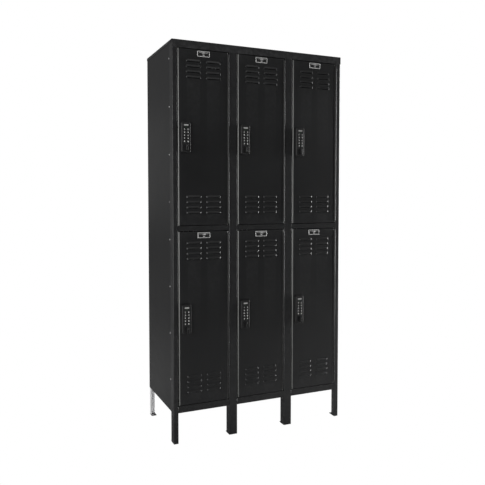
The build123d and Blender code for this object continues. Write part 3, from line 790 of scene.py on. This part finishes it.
# ---- number plates and locks ---------------------------------------------------------------------
def lettering(bm, text, middle, height, depth, bold):
    """Adds flat figures that face the front, centred on a point, standing out by depth."""
    curve = bpy.data.curves.new("figures", "FONT")
    curve.body = text
    curve.size = height * 1.42
    curve.align_x = "CENTER"
    curve.align_y = "CENTER"
    curve.extrude = depth / 2
    curve.offset = bold
    curve.resolution_u = 3
    holder = bpy.data.objects.new("figures", curve)
    bpy.context.scene.collection.objects.link(holder)
    mesh = bpy.data.meshes.new_from_object(holder.evaluated_get(bpy.context.evaluated_depsgraph_get()))
    bpy.data.objects.remove(holder)
    seat = Matrix.Translation(Vector(middle) - Vector((0, depth / 2, 0)))
    mesh.transform(seat @ Matrix.Rotation(math.pi / 2, 4, "X"))
    bm.from_mesh(mesh)
    bpy.data.meshes.remove(mesh)


def number_plate(number):
    """A silver plate with a raised rim, a black field, two dark rivets and the door's number."""
    rim, rim_depth, field_inset, field_depth, print_depth = 1.6 * mm, 0.35 * mm, 2.6 * mm, 0.2 * mm, 0.15 * mm
    low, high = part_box(f"number_plate_{number}")
    body = f"door_{number}"
    node = f"number_plate_{number}"
    back, face = high.y, low.y + 1.0 * mm
    x, z = (low.x + high.x) / 2, (low.z + high.z) / 2
    width, height = high.x - low.x, high.z - low.z
    bm = bmesh.new()
    add_front_plate(bm, (x, z), width, height, 2 * mm, back, face, 0.4 * mm)
    for side in (-1, 1):
        add_box(bm, (x + side * (width / 2 - 1.2 * rim) - rim / 2, face - rim_depth, low.z + rim),
                (x + side * (width / 2 - 1.2 * rim) + rim / 2, face, high.z - rim), 0.15 * mm, 1)
        edge = z + side * (height / 2 - 1.1 * rim)
        add_box(bm, (low.x + rim, face - rim_depth, edge - rim / 2),
                (high.x - rim, face, edge + rim / 2), 0.15 * mm, 1)
    piece(f"number_plate_sheet_{number}", bm, body, plate_silver, 32, (node,))
    bm = bmesh.new()
    field_low, field_high = low.z + field_inset, high.z - field_inset
    field_half = width / 2 - field_inset
    print_face = face - field_depth
    add_box(bm, (x - field_half, print_face, field_low), (x + field_half, face, field_high), 0.1 * mm, 1)
    for side in (-1, 1):
        seat = (x + side * width * 0.40, face - 0.9 * mm, z + height * 0.27)
        dome = [(0.0, 0.0), (1.4 * mm, 0.12 * mm), (2.1 * mm, 0.5 * mm), (2.3 * mm, 0.9 * mm)]
        add_turned(bm, dome, seat, (0, 1, 0), 18)
    piece(f"number_plate_field_{number}", bm, body, plate_black, 32)
    bm = bmesh.new()
    lettering(bm, str(100 + number), (x, print_face, z + height * 0.16), 8.5 * mm, print_depth, 0.35 * mm)
    for side in (-1, 1):
        line_x = x + side * width * 0.25
        add_box(bm, (line_x - 8 * mm, print_face - print_depth, z + height * 0.20),
                (line_x + 8 * mm, print_face, z + height * 0.25), 0.05 * mm, 1)
    add_box(bm, (x - 5 * mm, print_face - print_depth, z - height * 0.26),
            (x + 5 * mm, print_face, z - height * 0.14), 0.05 * mm, 1)
    piece(f"number_plate_print_{number}", bm, body, plate_silver, 32)


def key_middles(low, high):
    """The middles of the ten keys, row by row from the top, from the box round them."""
    key_width, key_height = key_size
    xs = (low.x + key_width / 2, high.x - key_width / 2)
    step = (high.z - low.z - key_height) / (key_rows - 1)
    return [(x, high.z - key_height / 2 - row * step) for row in range(key_rows) for x in xs]


def lock(number):
    """Finishes one keypad lock: legends on the keys, a status lamp and a pointer on the knob."""
    lamp_drop, knob_radius = 25 * mm, 16 * mm
    mark, mark_start, mark_end, mark_depth = 1.6 * mm, 5 * mm, 12 * mm, 0.3 * mm
    body = f"door_{number}"
    low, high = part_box(f"lock_housing_{number}")
    keys_low, keys_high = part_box(f"lock_keys_{number}")
    bm = bmesh.new()
    for figure, (x, z) in zip("1234567890", key_middles(keys_low, keys_high)):
        lettering(bm, figure, (x, keys_low.y, z), 5.6 * mm, 0.18 * mm, 0.32 * mm)
    piece(f"key_legends_{number}", bm, f"keys_{number}", legend_paint, 32)

    x = (low.x + high.x) / 2
    bm = bmesh.new()
    add_turned(bm, [(0.0, 0.0), (1.1 * mm, 0.1 * mm), (1.5 * mm, 0.5 * mm), (1.6 * mm, 1.0 * mm)],
               (x, low.y, high.z - lamp_drop), (0, 1, 0), 16)
    piece(f"status_lamp_{number}", bm, body, lamp_lens, 40)

    knob_low, knob_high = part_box(f"lock_knob_{number}")
    knob_z = knob_high.z - knob_radius
    bm = bmesh.new()
    add_box(bm, (x - mark / 2, knob_low.y, knob_z + mark_start),
            (x + mark / 2, knob_low.y + mark_depth, knob_z + mark_end), 0.1 * mm, 1)
    piece(f"knob_mark_{number}", bm, f"knob_{number}", legend_paint, 32)


def finish_cad_nodes():
    """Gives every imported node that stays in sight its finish."""
    finishes = {
        "side_panels": panel_coat, "partitions": inner_coat, "back_panels": panel_coat,
        "header_rail": panel_coat, "mid_shelves": inner_coat, "bottom_shelves": inner_coat,
        "rear_legs": zinc, "rear_feet": dark_steel, "front_feet": panel_coat, "coat_hooks": zinc}
    for number in door_numbers:
        finishes[f"lock_housing_{number}"] = case_plastic
        finishes[f"lock_keys_{number}"] = key_plastic
        finishes[f"lock_knob_{number}"] = knob_coat
        finishes[f"lock_rear_case_{number}"] = case_plastic
    for node, material in finishes.items():
        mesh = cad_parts[node].data
        mesh.materials.clear()
        mesh.materials.append(material)
    for number in door_numbers:
        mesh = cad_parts[f"lock_housing_{number}"].data
        mesh.materials.append(bar_finish)
        low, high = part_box(f"lock_housing_{number}")
        bar_face = low.y
        for face in mesh.polygons:
            ys = [mesh.vertices[i].co.y for i in face.vertices]
            zs = [mesh.vertices[i].co.z for i in face.vertices]
            xs = [mesh.vertices[i].co.x for i in face.vertices]
            in_front = min(ys) < bar_face + 0.5 * mm and max(ys) < bar_face + 0.9 * mm
            in_width = min(xs) > low.x + bar_side_margin and max(xs) < high.x - bar_side_margin
            if in_front and in_width and min(zs) > high.z - bar_height_span:
                face.material_index = 1


# ---- studio ------------------------------------------------------------------------------------
floor_reach = 30.0
floor_tone = 0.29
surround_strength = 0.155
light_aim = (0.0, 0.0, 1.0)
# name: place, target, size, power in watts
studio_lights = {
    "left_softbox": ((-3.4, -1.9, 1.2), light_aim, (3.4, 2.6), 130),
    "right_softbox": ((3.3, 0.2, 1.2), light_aim, (2.8, 2.6), 380),
    "top_softbox": ((0.0, -1.2, 4.6), light_aim, (3.0, 2.0), 10),
    "rear_left_panel": ((-1.9, 3.7, 1.0), (-0.476, 0.1, 0.9), (1.4, 2.4), 0.9)}

# The camera stands out from the lower front left corner of the body.
camera_lens = 43.66
camera_shift = -0.04
camera_from_corner = (-0.8514, -2.7441, 1.2233)
camera_tilt = -0.0448
camera_turn = -0.4187


def area_light(name, place, target, size, power):
    """A soft rectangular light that faces a target."""
    light = bpy.data.lights.new(name, "AREA")
    light.shape = "RECTANGLE"
    light.size, light.size_y = size
    light.energy = power
    holder = bpy.data.objects.new(name, light)
    holder.location = place
    holder.rotation_euler = (Vector(target) - Vector(place)).to_track_quat("-Z", "Y").to_euler()
    bpy.context.scene.collection.objects.link(holder)


def studio():
    """A pale floor, an even pale surround and soft lights. Both look white to the camera alone."""
    mesh = bpy.data.meshes.new("floor")
    reach = floor_reach
    corners = [(-reach, -reach, 0), (reach, -reach, 0), (reach, reach, 0), (-reach, reach, 0)]
    mesh.from_pydata(corners, [], [(0, 1, 2, 3)])
    floor = bpy.data.objects.new("floor", mesh)
    bpy.context.scene.collection.objects.link(floor)
    pale, tree, shader = new_material("pale_floor")
    shader.inputs["Base Color"].default_value = (floor_tone, floor_tone, floor_tone, 1)
    shader.inputs["Roughness"].default_value = 0.9
    shader.inputs["Specular IOR Level"].default_value = 0.1
    glow = put(tree, "ShaderNodeEmission", Color=(1, 1, 1, 1), Strength=1.0)
    swap = tree.nodes.new("ShaderNodeMixShader")
    path = tree.nodes.new("ShaderNodeLightPath")
    tree.links.new(path.outputs["Is Camera Ray"], swap.inputs[0])
    tree.links.new(shader.outputs[0], swap.inputs[1])
    tree.links.new(glow.outputs[0], swap.inputs[2])
    tree.links.new(swap.outputs[0], tree.nodes["Material Output"].inputs["Surface"])
    mesh.materials.append(pale)

    world = bpy.data.worlds.new("studio")
    bpy.context.scene.world = world
    world.use_nodes = True
    tree = world.node_tree
    seen = put(tree, "ShaderNodeBackground", Color=(1, 1, 1, 1), Strength=1.0)
    fill = tree.nodes["Background"]
    fill.inputs["Color"].default_value = (1, 1, 1, 1)
    fill.inputs["Strength"].default_value = surround_strength
    swap = tree.nodes.new("ShaderNodeMixShader")
    path = tree.nodes.new("ShaderNodeLightPath")
    tree.links.new(path.outputs["Is Camera Ray"], swap.inputs[0])
    tree.links.new(fill.outputs[0], swap.inputs[1])
    tree.links.new(seen.outputs[0], swap.inputs[2])
    tree.links.new(swap.outputs[0], tree.nodes["World Output"].inputs["Surface"])

    for name, values in studio_lights.items():
        area_light(name, *values)


def camera():
    """A camera to the front left, nearly level, with part of the tilt given to the lens shift."""
    lens = bpy.data.cameras.new("camera")
    lens.sensor_width = 36.0
    lens.lens = camera_lens
    lens.shift_y = camera_shift
    holder = bpy.data.objects.new("camera", lens)
    corner = Vector((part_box("end_stiles")[0].x, face_y, 0.0))
    holder.location = corner + Vector(camera_from_corner)
    holder.rotation_euler = (math.pi / 2 + camera_tilt, 0.0, camera_turn)
    bpy.context.scene.collection.objects.link(holder)
    bpy.context.scene.camera = holder


bpy.context.scene.view_settings.view_transform = "Standard"

for number in door_numbers:
    door_skin(number)
    number_plate(number)
    lock(number)
frame_members()
hinges()
bolts()
finish_cad_nodes()
studio()
camera()
